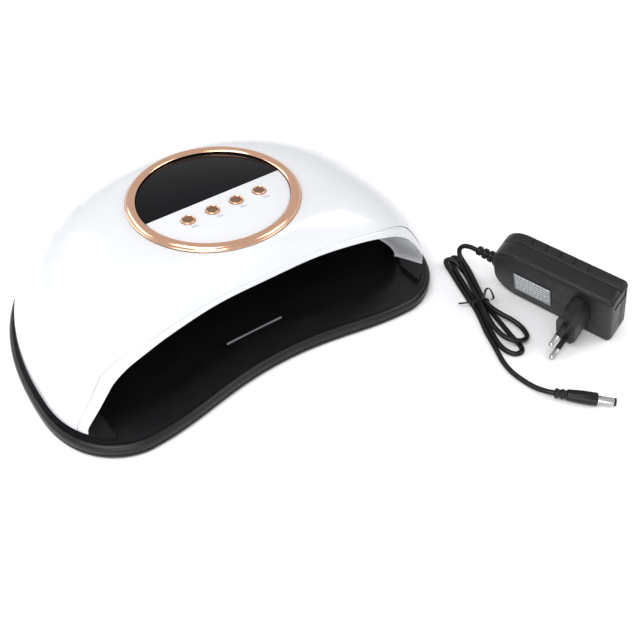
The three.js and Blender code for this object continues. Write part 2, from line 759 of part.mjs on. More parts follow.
place(
  "rating_label",
  box([-0.7, -47.5, 13], [-gap, -18.5, 34]),
  materials.label,
  adapter,
);

// Inside: the board with its transformer and capacitor.
const insideX = adapterWall + 1.5;
place(
  "adapter_board",
  box([insideX, -adapterLength + 6, 6], [insideX + boardThick, -22, adapterHeight - 6]),
  materials.board,
  adapter,
);
place(
  "adapter_transformer",
  box([insideX + boardThick + gap, -60, 12], [insideX + boardThick + 14, -40, 34]),
  materials.copper,
  adapter,
);
const capacitor = new THREE.CylinderGeometry(5.6, 5.6, 16, 14);
place(
  "adapter_capacitor",
  solid(capacitor.translate(insideX + boardThick + gap + 5.7, -75, cordZ)),
  materials.steel,
  adapter,
);

// The ribbed strain relief that the cord leaves by.
const reliefProfile = [[0, -3], [4.4, -3], [4.4, -2.3], [3, -2.3], [3, 0.3], [5.6, 0.3], [4.9, 2.6]];
for (let z = 2.8; z < reliefLength - 4; z += 5) {
  const radius = 4.5 - 1.4 * (z / reliefLength);
  reliefProfile.push([radius - 0.9, z + 0.4], [radius - 0.9, z + 1.6], [radius, z + 2], [radius, z + 4.6]);
}
reliefProfile.push([2.4, reliefLength], [0, reliefLength]);
const relief = place("strain_relief", turned(reliefProfile, 12), materials.black, adapter);
relief.rotation.x = -Math.PI / 2;
relief.position.set(cordX, 0, cordZ);

// ---- The cord: a lead, a folded hank held by a twist tie, and a tail with the plug ------------
const leadRoute = [
  [167.4, -111.7, 24.3], [166.2, -106.6, 24.2], [164.9, -101, 22.2], [164.2, -98, 17.5],
  [163.9, -99.4, 12.9], [163.2, -105, 10.3], [161.2, -112, 9.6],
];
const tailRoute = [
  [125.4, -178.1, 2], [123.2, -182.6, 2], [120.1, -190.5, 2], [118.3, -200, 2], [118.8, -210, 2],
  [120.2, -218.5, 2.3], [122.4, -225.6, 3.5], [124.5, -230.1, 4.5],
];
place("cord_lead", tube(leadRoute, cordDiameter, 8, 12), materials.black, beside);
place("cord_tail", tube(tailRoute, cordDiameter, 8, 16), materials.black, beside);

// The hank's outer shape: three stretches with round ends, in at the waist where it is tied.
const hankHeight = 7.1;
const foldEnd = [161.8, -98.6];
const waist = [146.9, -140.9];
const loopEnd = [141.5, -179];
const tailEnd = [127.5, -173.4];
const foldRadius = 10;
const waistRadius = 7;
const loopRadius = 14.5;
const tailRadius = 4.4;
const hankBottom = 0.1;
const disc = ([x, y], radius) => rod(radius, x, y, hankBottom, hankHeight, 24);
const waistTurn = Math.atan2(waist[1] - foldEnd[1], waist[0] - foldEnd[0]) + Math.PI / 2;
const waistHalf = 6;
const tieHalf = 1.1; // half the tie's width along the cord
const tieThick = 0.7;

// A block at the hank's waist: along X it lies across the cord, along Y it lies along it.
function atWaist(low, high) {
  const matrix = new THREE.Matrix4().makeRotationZ(waistTurn).setPosition(...waist, 0);
  return box(low, high).transform(matrix.elements);
}

const core = [tieThick + gap + 0.1, hankHeight - tieThick - gap];
const waistDisc = disc(waist, waistRadius);
const hank = wasm.Manifold.hull([disc(foldEnd, foldRadius), waistDisc])
  .add(wasm.Manifold.hull([waistDisc, disc(loopEnd, loopRadius)]))
  .add(wasm.Manifold.hull([waistDisc, disc(tailEnd, tailRadius)]))
  .subtract(atWaist([-20, -tieHalf - gap, -1], [20, tieHalf + gap, hankHeight + 1]))
  .add(atWaist([-waistHalf, -3, core[0]], [waistHalf, 3, core[1]]));
place("cord_hank", hank, materials.black, beside);

const tieOut = waistHalf + gap + tieThick;
const tie = atWaist([-tieOut, -tieHalf, hankBottom], [tieOut, tieHalf, hankHeight])
  .subtract(atWaist([-waistHalf - gap, -5, core[0] - gap], [waistHalf + gap, 5, core[1] + gap]))
  .add(atWaist([-tieOut - 9, -0.6, 1.8], [-tieOut + 0.2, 0.6, 3]))
  .add(atWaist([tieOut - 0.2, -0.6, 4], [tieOut + 7, 0.6, 5.2]));
place("cord_tie", tie, materials.black, beside);

// The low-voltage plug: its own axis runs from the cord to its tip.
const plug = new THREE.Group();
const plugRadiusOut = 4.4;
const housingLength = 27;
const barrelLength = 11.6;
plug.position.set(125.1, -230.8, plugRadiusOut + 0.1);
plug.rotation.set(0, Math.PI / 2, -rad(48.3), "ZYX");
beside.add(plug);
place("dc_plug_housing", turned([
  [0, 0], [2.9, 0], [3.3, 0.8], [3.3, 2.2], [2.7, 2.6], [2.7, 3.8], [3.4, 4.2], [3.4, 5.8],
  [2.9, 6.2], [2.9, 7.4], [3.7, 7.9], [plugRadiusOut, 17], [plugRadiusOut, housingLength - 0.6],
  [plugRadiusOut - 0.5, housingLength], [plugRadius + gap, housingLength],
  [plugRadius + gap, housingLength - 4], [0, housingLength - 4],
], 16), materials.black, plug);
const bore = 1.25;
const tipRing = 1.5;
place("dc_plug_barrel", turned([
  [bore, housingLength - 3.7], [plugRadius, housingLength - 3.7],
  [plugRadius, housingLength + barrelLength - tipRing], [bore, housingLength + barrelLength - tipRing],
  [bore, housingLength - 3.7],
], 16), materials.steel, plug);
place("dc_plug_tip", turned([
  [bore, housingLength + barrelLength - tipRing + gap],
  [plugRadius, housingLength + barrelLength - tipRing + gap],
  [plugRadius - 0.1, housingLength + barrelLength], [bore, housingLength + barrelLength],
  [bore, housingLength + barrelLength - tipRing + gap],
], 16), materials.black, plug);

export default group;
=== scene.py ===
# A two-hand UV LED nail lamp with its power adapter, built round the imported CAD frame.
# Lengths in this script are in millimetres; Blender objects are made in metres by MM.
import math

import bmesh
import bpy
from mathutils import Matrix, Vector


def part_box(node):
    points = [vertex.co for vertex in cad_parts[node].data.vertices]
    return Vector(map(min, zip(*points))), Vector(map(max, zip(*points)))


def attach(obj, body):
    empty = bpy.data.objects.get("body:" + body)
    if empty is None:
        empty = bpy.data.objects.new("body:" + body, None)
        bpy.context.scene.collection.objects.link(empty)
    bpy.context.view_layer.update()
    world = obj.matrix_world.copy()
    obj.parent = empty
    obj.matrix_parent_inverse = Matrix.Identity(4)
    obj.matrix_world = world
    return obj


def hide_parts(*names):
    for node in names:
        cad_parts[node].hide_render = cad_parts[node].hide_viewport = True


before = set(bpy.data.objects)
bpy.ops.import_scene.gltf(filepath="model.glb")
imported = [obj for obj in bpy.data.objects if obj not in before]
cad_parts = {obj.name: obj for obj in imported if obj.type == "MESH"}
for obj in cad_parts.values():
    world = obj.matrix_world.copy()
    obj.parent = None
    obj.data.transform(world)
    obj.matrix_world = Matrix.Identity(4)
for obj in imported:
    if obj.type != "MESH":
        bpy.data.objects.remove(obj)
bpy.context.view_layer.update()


scene = bpy.context.scene
scene.view_settings.view_transform = "Standard"

MM = 0.001
GAP = 0.3  # clearance between pieces that meet

# ---- Camera -------------------------------------------------------------------------------------
AZIMUTH, ELEVATION = math.radians(-36.472), math.radians(44.007)
camera_data = bpy.data.cameras.new("camera")
camera_data.lens = 48.32
camera_data.sensor_width = 36
camera = bpy.data.objects.new("camera", camera_data)
camera.location = (-0.21425, -0.43524, 0.4236)
camera.rotation_euler = (math.pi / 2 - ELEVATION, 0, AZIMUTH)
scene.collection.objects.link(camera)
scene.camera = camera


# ---- Mesh helpers -------------------------------------------------------------------------------
def new_object(name, data):
    obj = bpy.data.objects.new(name, data)
    scene.collection.objects.link(obj)
    return obj


def shade(mesh, degrees):
    """Smooth faces, with the edges that bend more than this kept sharp."""
    mesh.polygons.foreach_set("use_smooth", [True] * len(mesh.polygons))
    if degrees < 180:
        mesh.set_sharp_from_angle(angle=math.radians(degrees))


def make(name, points, faces, material, body, degrees=35):
    """A mesh piece from points in millimetres."""
    mesh = bpy.data.meshes.new(name)
    mesh.from_pydata([Vector(p) * MM for p in points], [], faces)
    mesh.validate()
    work = bmesh.new()
    work.from_mesh(mesh)
    bmesh.ops.remove_doubles(work, verts=work.verts, dist=1e-7)
    bmesh.ops.recalc_face_normals(work, faces=work.faces)
    work.to_mesh(mesh)
    work.free()
    shade(mesh, degrees)
    mesh.materials.append(material)
    obj = new_object(name, mesh)
    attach(obj, body)
    return obj


def grid_faces(rows, columns, closed=True):
    """Quads between rows of the same number of points."""
    faces = []
    for row in range(rows - 1):
        for i in range(columns if closed else columns - 1):
            a, b = row * columns + i, row * columns + (i + 1) % columns
            faces.append((a, b, b + columns, a + columns))
    return faces


def loft(name, loops, material, body, degrees=35, caps=True, ring=False):
    """A skin through closed loops of points, with its ends capped or joined to each other."""
    count = len(loops[0])
    points = [p for loop in loops for p in loop]
    faces = grid_faces(len(loops), count)
    last = (len(loops) - 1) * count
    if ring:
        faces += [(last + i, last + (i + 1) % count, (i + 1) % count, i) for i in range(count)]
    elif caps:
        faces += [tuple(reversed(range(count))), tuple(range(last, last + count))]
    return make(name, points, faces, material, body, degrees)


def rounded(profile, radius=0.25, steps=3):
    """An open [radius, height] profile with its corners rounded."""
    out = [profile[0]]
    for before, here, after in zip(profile, profile[1:], profile[2:]):
        a, h, b = Vector(before), Vector(here), Vector(after)
        first, second = a - h, b - h
        reach = min(radius, first.length * 0.45, second.length * 0.45)
        if reach < 0.01 or first.angle(second, math.pi) > 2.9:
            out.append(here)
            continue
        start, end = h + first.normalized() * reach, h + second.normalized() * reach
        for k in range(steps + 1):
            t = k / steps
            out.append(tuple(start.lerp(h, t).lerp(h.lerp(end, t), t)))
    out.append(profile[-1])
    return out


def lathe(name, profile, material, body, matrix=None, sides=64, radius=0.25, degrees=40):
    """A turned piece about Z from [radius, height] pairs; ends on the axis are closed."""
    matrix = matrix or Matrix.Identity(4)
    loops = []
    for r, z in rounded(profile, radius):
        turns = [2 * math.pi * i / sides for i in range(sides)]
        loops.append([matrix @ Vector((r * math.cos(t), r * math.sin(t), z)) for t in turns])
    closed = (Vector(profile[0]) - Vector(profile[-1])).length < 1e-6
    return loft(name, loops, material, body, degrees, caps=False, ring=closed)


def refined(node, name, material, body, width=0.35, segments=3, degrees=30):
    """A copy of a CAD node with its edges rounded, which stands for it."""
    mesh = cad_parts[node].data.copy()
    mesh.name = name
    mesh.materials.clear()
    mesh.materials.append(material)
    work = bmesh.new()
    work.from_mesh(mesh)
    bmesh.ops.remove_doubles(work, verts=work.verts, dist=2e-6)
    bmesh.ops.dissolve_limit(
        work, angle_limit=math.radians(1.5), verts=work.verts, edges=work.edges,
    )
    work.to_mesh(mesh)
    work.free()
    shade(mesh, degrees)
    obj = new_object(name, mesh)
    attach(obj, body)
    bevel = obj.modifiers.new("bevel", "BEVEL")
    bevel.width = width * MM
    bevel.segments = segments
    bevel.limit_method = "ANGLE"
    bevel.angle_limit = math.radians(degrees)
    bevel.harden_normals = True
    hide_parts(node)
    return obj


# ---- Materials ----------------------------------------------------------------------------------
def principled(name, **values):
    material = bpy.data.materials.new(name)
    material.use_nodes = True
    shader = material.node_tree.nodes["Principled BSDF"]
    for key, value in values.items():
        shader.inputs[key].default_value = value
    return material


def object_noise(material, scale, detail):
    """A noise texture on the object's own coordinates."""
    nodes, links = material.node_tree.nodes, material.node_tree.links
    coords = nodes.new("ShaderNodeTexCoord")
    texture = nodes.new("ShaderNodeTexNoise")
    texture.inputs["Scale"].default_value = scale
    texture.inputs["Detail"].default_value = detail
    links.new(coords.outputs["Object"], texture.inputs["Vector"])
    return texture


def add_noise(material, scale, low, high, socket="Roughness"):
    """Varies one socket between two colours or two values."""
    nodes, links = material.node_tree.nodes, material.node_tree.links
    texture = object_noise(material, scale, 3)
    shader = nodes["Principled BSDF"]
    if isinstance(low, tuple):
        mix = nodes.new("ShaderNodeMix")
        mix.data_type = "RGBA"
        mix.inputs["A"].default_value = (*low, 1)
        mix.inputs["B"].default_value = (*high, 1)
        links.new(texture.outputs["Fac"], mix.inputs["Factor"])
        links.new(mix.outputs["Result"], shader.inputs[socket])
    else:
        span = nodes.new("ShaderNodeMapRange")
        span.inputs["From Min"].default_value = 0.3
        span.inputs["From Max"].default_value = 0.7
        span.inputs["To Min"].default_value = low
        span.inputs["To Max"].default_value = high
        links.new(texture.outputs["Fac"], span.inputs["Value"])
        links.new(span.outputs["Result"], shader.inputs[socket])


def add_bump(material, scale, distance):
    """The fine relief of a moulded or brushed surface; the distance is in millimetres."""
    nodes, links = material.node_tree.nodes, material.node_tree.links
    texture = object_noise(material, scale, 2)
    bump = nodes.new("ShaderNodeBump")
    bump.inputs["Strength"].default_value = 1.0
    bump.inputs["Distance"].default_value = distance * MM
    links.new(texture.outputs["Fac"], bump.inputs["Height"])
    links.new(bump.outputs["Normal"], nodes["Principled BSDF"].inputs["Normal"])


def plastic(name, low, high, rough, grain=None, coat=0.0, specular=0.5):
    values = {"IOR": 1.49, "Specular IOR Level": specular}
    if coat:
        values.update({"Coat Weight": coat, "Coat Roughness": 0.04})
    material = principled(name, **values)
    add_noise(material, 60, low, high, "Base Color")
    add_noise(material, 140, rough[0], rough[1])
    if grain:
        add_bump(material, *grain)
    return material


def metal(name, low, high, rough, brushed=None):
    material = principled(name, **{"Metallic": 1.0})
    add_noise(material, 90, low, high, "Base Color")
    add_noise(material, 300, rough[0], rough[1])
    if brushed:
        add_bump(material, *brushed)
    return material


white = plastic(
    "white_gloss", (0.60, 0.61, 0.63), (0.63, 0.64, 0.66), (0.16, 0.24), (900, 0.003), 0.5,
)
white_satin = plastic(
    "white_satin", (0.62, 0.63, 0.65), (0.65, 0.66, 0.68), (0.3, 0.38), (1500, 0.003),
)
black = plastic(
    "black_satin", (0.006, 0.006, 0.007), (0.011, 0.011, 0.012), (0.32, 0.45), (2600, 0.02),
    specular=0.28,
)
black_base = plastic(
    "black_moulded", (0.006, 0.006, 0.007), (0.011, 0.011, 0.012), (0.28, 0.38), (700, 0.003),
    specular=0.28,
)
cavity_black = plastic(
    "cavity_black", (0.006, 0.006, 0.007), (0.012, 0.012, 0.013), (0.4, 0.55), (700, 0.003),
    specular=0.25,
)
gloss_black = plastic(
    "window_black", (0.004, 0.004, 0.005), (0.007, 0.007, 0.008), (0.03, 0.06), specular=0.07,
)
rose_gold = metal("rose_gold", (0.80, 0.46, 0.30), (0.86, 0.52, 0.35), (0.10, 0.17), (700, 0.002))
rose_cap = metal(
    "rose_gold_cap", (0.30, 0.16, 0.10), (0.36, 0.20, 0.13), (0.38, 0.48), (5200, 0.006),
)
nickel = metal("nickel", (0.44, 0.43, 0.42), (0.56, 0.55, 0.53), (0.16, 0.28), (900, 0.004))
steel = metal("steel", (0.42, 0.43, 0.44), (0.56, 0.57, 0.58), (0.25, 0.4), (1600, 0.005))
rubber = plastic("rubber", (0.012, 0.012, 0.012), (0.022, 0.022, 0.022), (0.7, 0.85), (3500, 0.03))
cord_black = plastic(
    "cord_black", (0.004, 0.004, 0.005), (0.008, 0.008, 0.009), (0.28, 0.38), (1400, 0.008),
    specular=0.28,
)
adapter_black = plastic(
    "adapter_black", (0.006, 0.0065, 0.007), (0.011, 0.0115, 0.012), (0.36, 0.5),
    (4200, 0.025), specular=0.3,
)
label_silver = plastic(
    "label_silver", (0.20, 0.21, 0.23), (0.27, 0.28, 0.30), (0.3, 0.45), (2500, 0.006),
)
label_print = plastic("label_print", (0.55, 0.57, 0.60), (0.65, 0.67, 0.70), (0.4, 0.5))
panel_print = plastic("panel_print", (0.25, 0.26, 0.28), (0.32, 0.33, 0.35), (0.4, 0.5))
lens_clear = plastic("led_lens", (0.42, 0.36, 0.60), (0.62, 0.58, 0.74), (0.05, 0.1), None, 0.6)
led_cup = metal("led_cup", (0.70, 0.70, 0.72), (0.80, 0.80, 0.82), (0.18, 0.3))
board_white = plastic(
    "led_board", (0.55, 0.55, 0.52), (0.64, 0.64, 0.60), (0.35, 0.5), (2000, 0.01),
)
board_green = plastic(
    "circuit_board", (0.02, 0.10, 0.05), (0.03, 0.14, 0.07), (0.3, 0.45), (1500, 0.02),
)
copper = plastic("copper_wire", (0.40, 0.17, 0.06), (0.52, 0.24, 0.10), (0.3, 0.42), (2500, 0.01))

# ---- Cord ---------------------------------------------------------------------------------------
CORD_DIAMETER = 3.6
ROUTE = [
    # from the strain relief up, over and down onto the hank
    (167.4, -111.7, 24.3), (166.2, -106.6, 24.2), (164.9, -101, 22.2), (164.2, -98, 17.5),
    (163.9, -99.4, 12.9), (163.2, -105, 10), (161.2, -112, 9.2), (157.8, -121, 8),
    (153.8, -131, 6.4), (149.9, -141, 5.6),
    # first big loop
    (148.4, -149, 5.8), (149.4, -157.5, 5.5), (152.4, -166.2, 4.2), (153.6, -175, 2.8),
    (150.6, -182.6, 2.7), (144.2, -185.2, 4.4), (137.6, -182.2, 5.7), (134.9, -174.6, 5.8),
    (136, -165, 5.8), (139.6, -155, 5.7), (143.2, -147.5, 5.6), (146.2, -140.5, 5.5),
    # first fold
    (150.4, -131, 5.5), (155.8, -119.5, 5.5), (161, -109, 5.5), (166, -99.5, 5.2),
    (168, -94, 4.2), (167, -90.4, 3), (163.8, -91.2, 2.1), (161, -97, 1.9), (157, -107, 1.9),
    (152.4, -119, 1.9), (148.6, -130, 1.9), (146, -139.5, 1.9),
    # second big loop
    (141.6, -149, 1.9), (136.2, -160, 1.9), (131.2, -172, 1.9), (129.3, -182, 1.9),
    (131.8, -189.2, 1.9), (137.2, -190.6, 1.9), (140.6, -186.2, 1.9), (142.4, -176.5, 1.9),
    (145.4, -163.5, 1.9), (148.2, -151.5, 1.9), (150, -142, 1.9),
    # second fold
    (153.6, -131, 1.9), (158, -120, 1.9), (161.6, -110.5, 2), (163.3, -102.5, 2.9),
    (163, -97, 4.7), (161, -92.6, 5.6), (158, -91.6, 4.8), (156.4, -95, 3.2), (155.4, -100, 2),
    (152.6, -107.5, 1.9), (148.6, -119, 1.9), (144.9, -130, 1.9), (142.2, -139.5, 1.9),
    # tail
    (137.6, -150, 1.9), (131.6, -162, 1.9), (127, -173.5, 1.9), (123.2, -182.6, 1.9),
    (120.1, -190.5, 1.9), (118.3, -200, 1.9), (118.8, -210, 1.9), (120.2, -218.5, 2.3),
    (122.4, -225.6, 3.5), (125.1, -230.8, 4.5),
]


def smooth_line(points, steps):
    """A Catmull-Rom line through points."""
    line = []
    spots = [Vector(p) for p in points]
    spots = [2 * spots[0] - spots[1], *spots, 2 * spots[-1] - spots[-2]]
    for a, b, c, d in zip(spots, spots[1:], spots[2:], spots[3:]):
        for k in range(steps):
            t = k / steps
            line.append(0.5 * (
                2 * b + (c - a) * t + (2 * a - 5 * b + 4 * c - d) * t * t
                + (3 * b - a - 3 * c + d) * t ** 3
            ))
    return line + [spots[-2]]


def poly_curve(name, line, diameter, material, body, resolution=6):
    data = bpy.data.curves.new(name, "CURVE")
    data.dimensions = "3D"
    data.bevel_depth = diameter * MM / 2
    data.bevel_resolution = resolution
    data.use_fill_caps = True
    spline = data.splines.new("POLY")
    spline.points.add(len(line) - 1)
    for point, p in zip(spline.points, line):
        point.co = (*(p * MM), 1)
    spline.use_smooth = True
    data.materials.append(material)
    obj = new_object(name, data)
    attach(obj, body)
    return obj


cord_line = smooth_line(ROUTE, 5)
cord = poly_curve("power_cord", cord_line, CORD_DIAMETER, cord_black, "base")
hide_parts("cord_lead", "cord_hank", "cord_tail")

# The twist tie: a band round the five strands, a twist on top and two free ends.
TIE_CENTRE = Vector((146.9, -140.9, 3.7))
along_hank = (Vector((162, -97, 0)) - Vector((147, -141, 0))).normalized()
across_hank = Vector((along_hank.y, -along_hank.x, 0))


def at_tie(across, along, up):
    return TIE_CENTRE + across_hank * across + along_hank * along + Vector((0, 0, up))


def ribbon(name, line, half, thick, normals, material):
    """A flat strip along a line; normals give the way its thin side faces."""
    loops = []
    for i, p in enumerate(line):
        ahead = (line[min(i + 1, len(line) - 1)] - line[max(i - 1, 0)]).normalized()
        normal = (normals[i] - ahead * normals[i].dot(ahead)).normalized()
        side = ahead.cross(normal)
        ridge = thick * 1.6
        loops.append([
            p + side * half - normal * thick * 0.5, p + side * half + normal * thick * 0.5,
            p + side * half * 0.3 + normal * thick * 0.5, p + normal * ridge,
            p - side * half * 0.3 + normal * thick * 0.5, p - side * half + normal * thick * 0.5,
            p - side * half - normal * thick * 0.5,
        ])
    obj = loft(name, loops, material, "base", degrees=50)
    return obj


band_points = []
for k in range(49):
    turn = 2 * math.pi * k / 48
    band_points.append(at_tie(
        6.1 * math.copysign(abs(math.cos(turn)) ** 0.75, math.cos(turn)),
        0.5 * math.sin(turn),
        3.55 * math.copysign(abs(math.sin(turn)) ** 0.75, math.sin(turn)) + 0.35,
    ))
band_normals = [p - at_tie(0, 0, 0.3) for p in band_points]
tie_band = ribbon("tie_band", band_points, 1.1, 0.32, band_normals, cord_black)
end_one = smooth_line([
    at_tie(-3.4, 0.2, 3.9), at_tie(-6.4, 1.2, 3), at_tie(-9.6, 2.5, 1.8), at_tie(-12.6, 3.8, 0.9),
    at_tie(-15.4, 4.8, 0.5),
], 6)
tie_end_one = ribbon(
    "tie_end_straight", end_one, 0.8, 0.3, [Vector((0, 0, 1))] * len(end_one), cord_black,
)
end_two = smooth_line([
    at_tie(1, 0.4, 4.4), at_tie(3.2, 2.6, 6.6), at_tie(5, 4.6, 8.6), at_tie(7.4, 4.8, 8.8),
    at_tie(8.6, 2, 7), at_tie(8.4, -1.6, 4.8), at_tie(6.6, -1.6, 3.6),
], 6)
tie_end_two = ribbon(
    "tie_end_loop", end_two, 0.8, 0.3, [Vector((0.3, 0.2, 1))] * len(end_two), cord_black,
)
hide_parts("cord_tie")

# ---- The bean-shaped outline and the dome -------------------------------------------------------
BASE_HALF_WIDTH, BASE_HALF_DEPTH, FRONT_HOLLOW, LOBE_X, WIDEST_Y = 150, 115, 12.7, 104, -52.6
SHELL_INSET, SHELL_BOTTOM, SHELL_TOP, SHELL_WALL = 5.7, 14.0, 96.0, 2.5
RING_Y, RING_RADIUS, RING_INNER = -30.0, 56.7, 49.8
ARCH_HALF, ARCH_TOP = 133.3, 70.5
BEZEL_BACK_Y, FUNNEL_SIDE, FUNNEL_TOP, BEZEL_LIP = -72.0, 10.0, 7.0, 4.0
ROUNDNESS = 2 / 2.3  # how square the back of the outline is
FINE = 4  # how finely every outline is divided


def bezier(a, b, c, d, steps):
    points = []
    for k in range(steps):
        t = k / steps
        s = 1 - t
        points.append(tuple(
            s ** 3 * a[i] + 3 * s * s * t * b[i] + 3 * s * t * t * c[i] + t ** 3 * d[i]
            for i in range(len(a))
        ))
    return points


def outline(inset, back_inset=None):
    """The base's outline moved inwards, anticlockwise from the middle of the front edge."""
    back_inset = inset if back_inset is None else back_inset
    half_width = BASE_HALF_WIDTH - inset
    lobe_y = -BASE_HALF_DEPTH + inset
    hollow_y = lobe_y + FRONT_HOLLOW
    back_y = BASE_HALF_DEPTH - back_inset
    lobe = LOBE_X - 0.45 * inset
    corner = 0.8 * (WIDEST_Y - lobe_y)
    half = bezier((0, hollow_y), (44, hollow_y), (lobe - 37, lobe_y), (lobe, lobe_y), 6 * FINE)
    half += bezier(
        (lobe, lobe_y), (lobe + 13, lobe_y), (half_width, WIDEST_Y - corner),
        (half_width, WIDEST_Y), 6 * FINE,
    )
    steps = 12 * FINE
    for i in range(steps + 1):
        turn = i / steps * math.pi / 2
        x = half_width * math.cos(turn) ** ROUNDNESS if i < steps else 0.0
        half.append((x, WIDEST_Y + (back_y - WIDEST_Y) * math.sin(turn) ** ROUNDNESS))
    mirrored = [(-x, y) for x, y in half[1:-1]]
    return [Vector(p) for p in half + mirrored[::-1]]


def dome(inset, top_z, top_radius, back_inset=None):
    """The columns of a dome from its foot to its flat top, and the height of that top."""
    back_inset = inset if back_inset is None else back_inset
    centre = Vector((0, RING_Y))
    columns = []
    for foot in outline(SHELL_INSET + inset, SHELL_INSET + back_inset):
        direction = (foot - centre).normalized()
        power = 1.8 - 0.5 * max(direction.y, 0) ** 2
        columns.append((foot, centre + direction * top_radius, power))
    return columns, top_z


def dome_point(shape, column, t):
    (foot, top, power), top_z = column, shape[1]
    plan = foot.lerp(top, t)
    rise = (1 - (1 - t) ** power) ** (1 / power)
    return Vector((plan.x, plan.y, SHELL_BOTTOM + (top_z - SHELL_BOTTOM) * rise))


def dome_at(shape, column, z):
    power = column[2]
    rise = min(max((z - SHELL_BOTTOM) / (shape[1] - SHELL_BOTTOM), 0), 1)
    return dome_point(shape, column, 1 - (1 - rise ** power) ** (1 / power))


OUTER = dome(0, SHELL_TOP, RING_RADIUS)
INNER = dome(SHELL_WALL, SHELL_TOP - SHELL_WALL, RING_RADIUS - 1)
RIGHT_SIDE = 12 * FINE  # the column at the widest point


def front_y(x, z):
    """The y of the dome's front at (x, z)."""
    row = [dome_at(OUTER, column, z) for column in OUTER[0][:RIGHT_SIDE + 1]]
    side = abs(x)
    for a, b in zip(row, row[1:]):
        if b.x >= side:
            return a.y + (b.y - a.y) * (side - a.x) / max(b.x - a.x, 1e-6)
    return row[-1].y


def arch_profile(grow_side, grow_top, count):
    """Evenly spaced (x, z) points of the hand opening from its right foot to its left."""
    foot, top = ARCH_HALF + grow_side, ARCH_TOP + grow_top
    shoulder = (foot - 21, top - 20.5)
    slope = (0.73, -0.68)
    before = tuple(v - 23.6 * s for v, s in zip(shoulder, slope))
    after = tuple(v + 6.7 * s for v, s in zip(shoulder, slope))
    ankle = (foot + 1.6, SHELL_BOTTOM + 7)
    path = bezier((foot, SHELL_BOTTOM), ankle, after, shoulder, 60)
    path += bezier(shoulder, before, (72.5, top), (0, top), 60)
    mirrored = [(-x, z) for x, z in path]
    path = path + [(0, top)] + mirrored[::-1]
    lengths = [0]
    for a, b in zip(path, path[1:]):
        lengths.append(lengths[-1] + math.dist(a, b))
    out, j = [], 0
    for i in range(count + 1):
        want = lengths[-1] * i / count
        while j < len(path) - 2 and lengths[j + 1] < want:
            j += 1
        span = max(lengths[j + 1] - lengths[j], 1e-9)
        t = min(max((want - lengths[j]) / span, 0), 1)
        out.append(tuple(a + (b - a) * t for a, b in zip(path[j], path[j + 1])))
    return out


def boolean(obj, cutter, operation="DIFFERENCE"):
    """Cuts obj with a helper mesh, which is then thrown away."""
    modifier = obj.modifiers.new("cut", "BOOLEAN")
    modifier.operation = operation
    modifier.solver = "EXACT"
    modifier.object = cutter
    depsgraph = bpy.context.evaluated_depsgraph_get()
    mesh = bpy.data.meshes.new_from_object(obj.evaluated_get(depsgraph))
    obj.modifiers.clear()
    obj.data = mesh
    bpy.data.objects.remove(cutter)


def helper(points, faces):
    mesh = bpy.data.meshes.new("helper")
    mesh.from_pydata([Vector(p) * MM for p in points], [], faces)
    work = bmesh.new()
    work.from_mesh(mesh)
    bmesh.ops.remove_doubles(work, verts=work.verts, dist=1e-8)
    bmesh.ops.recalc_face_normals(work, faces=work.faces)
    work.to_mesh(mesh)
    work.free()
    return new_object("helper", mesh)


def prism_helper(shape, axis, low, high):
    """A straight bar with a closed outline, along the Y or Z axis."""
    def put(p, h):
        return (p[0], h, p[1]) if axis == "Y" else (p[0], p[1], h)
    count = len(shape)
    points = [put(p, low) for p in shape] + [put(p, high) for p in shape]
    faces = grid_faces(2, count) + [tuple(range(count)), tuple(range(count, 2 * count))]
    return helper(points, faces)


def circle(radius, x=0.0, y=0.0, sides=96):
    turns = [2 * math.pi * i / sides for i in range(sides)]
    return [(x + radius * math.cos(t), y + radius * math.sin(t)) for t in turns]


# ---- The white shell ----------------------------------------------------------------------------
FACET_HEIGHT = 2.4


def facet_relief(p):
    """Height of the shallow facets behind the panel, left and right, which fade at their edges."""
    side = abs(p.x)
    reach = min(max((side - 52) / 14, 0), 1) * min(max((p.y + 38) / 16, 0), 1)
    reach *= min(max((p.z - 34) / 14, 0), 1) * min(max((92 - p.z) / 8, 0), 1)
    if reach <= 0:
        return 0.0
    u = side * 0.060 + p.y * 0.034
    v = side * -0.030 + p.y * 0.058
    fu, fv = u - math.floor(u), v - math.floor(v)
    ridge = min(fu, 1 - fu, fv, 1 - fv, abs(fu - fv) * 0.8 + 0.02)
    return FACET_HEIGHT * reach * ridge


def dome_loops(shape, steps, relief=None):
    loops = []
    for i in range(steps + 1):
        t = 1 - math.cos(i / steps * math.pi / 2)
        loop = [dome_point(shape, column, t) for column in shape[0]]
        if relief:
            loop = [
                p + Vector((0, 0, 1)).lerp(Vector((p.x, p.y, 0)).normalized(), 0.4) * relief(p)
                for p in loop
            ]
        loops.append(loop)
    return loops


outer_loops = dome_loops(OUTER, 56, facet_relief)
inner_loops = dome_loops(INNER, 30)
shell = loft("shell_skin", outer_loops + inner_loops[::-1], white, "head", degrees=180, ring=True)
cut = arch_profile(BEZEL_LIP + GAP, BEZEL_LIP + GAP, 120)
foot = ARCH_HALF + BEZEL_LIP + GAP
cut_shape = [*cut, (-foot, SHELL_BOTTOM - 5), (foot, SHELL_BOTTOM - 5)]
boolean(shell, prism_helper(cut_shape, "Y", -140, BEZEL_BACK_Y + 12))
boolean(shell, prism_helper(circle(RING_INNER + 3.2, 0, RING_Y), "Z", 80, 110))
socket_z = 26.0
back_column = OUTER[0][len(OUTER[0]) // 2]
socket_back = dome_at(OUTER, back_column, socket_z).y
boolean(shell, prism_helper(circle(5.8, 0, socket_z, 48), "Y", socket_back - 20, socket_back + 20))
shade(shell.data, 40)
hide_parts("outer_shell")

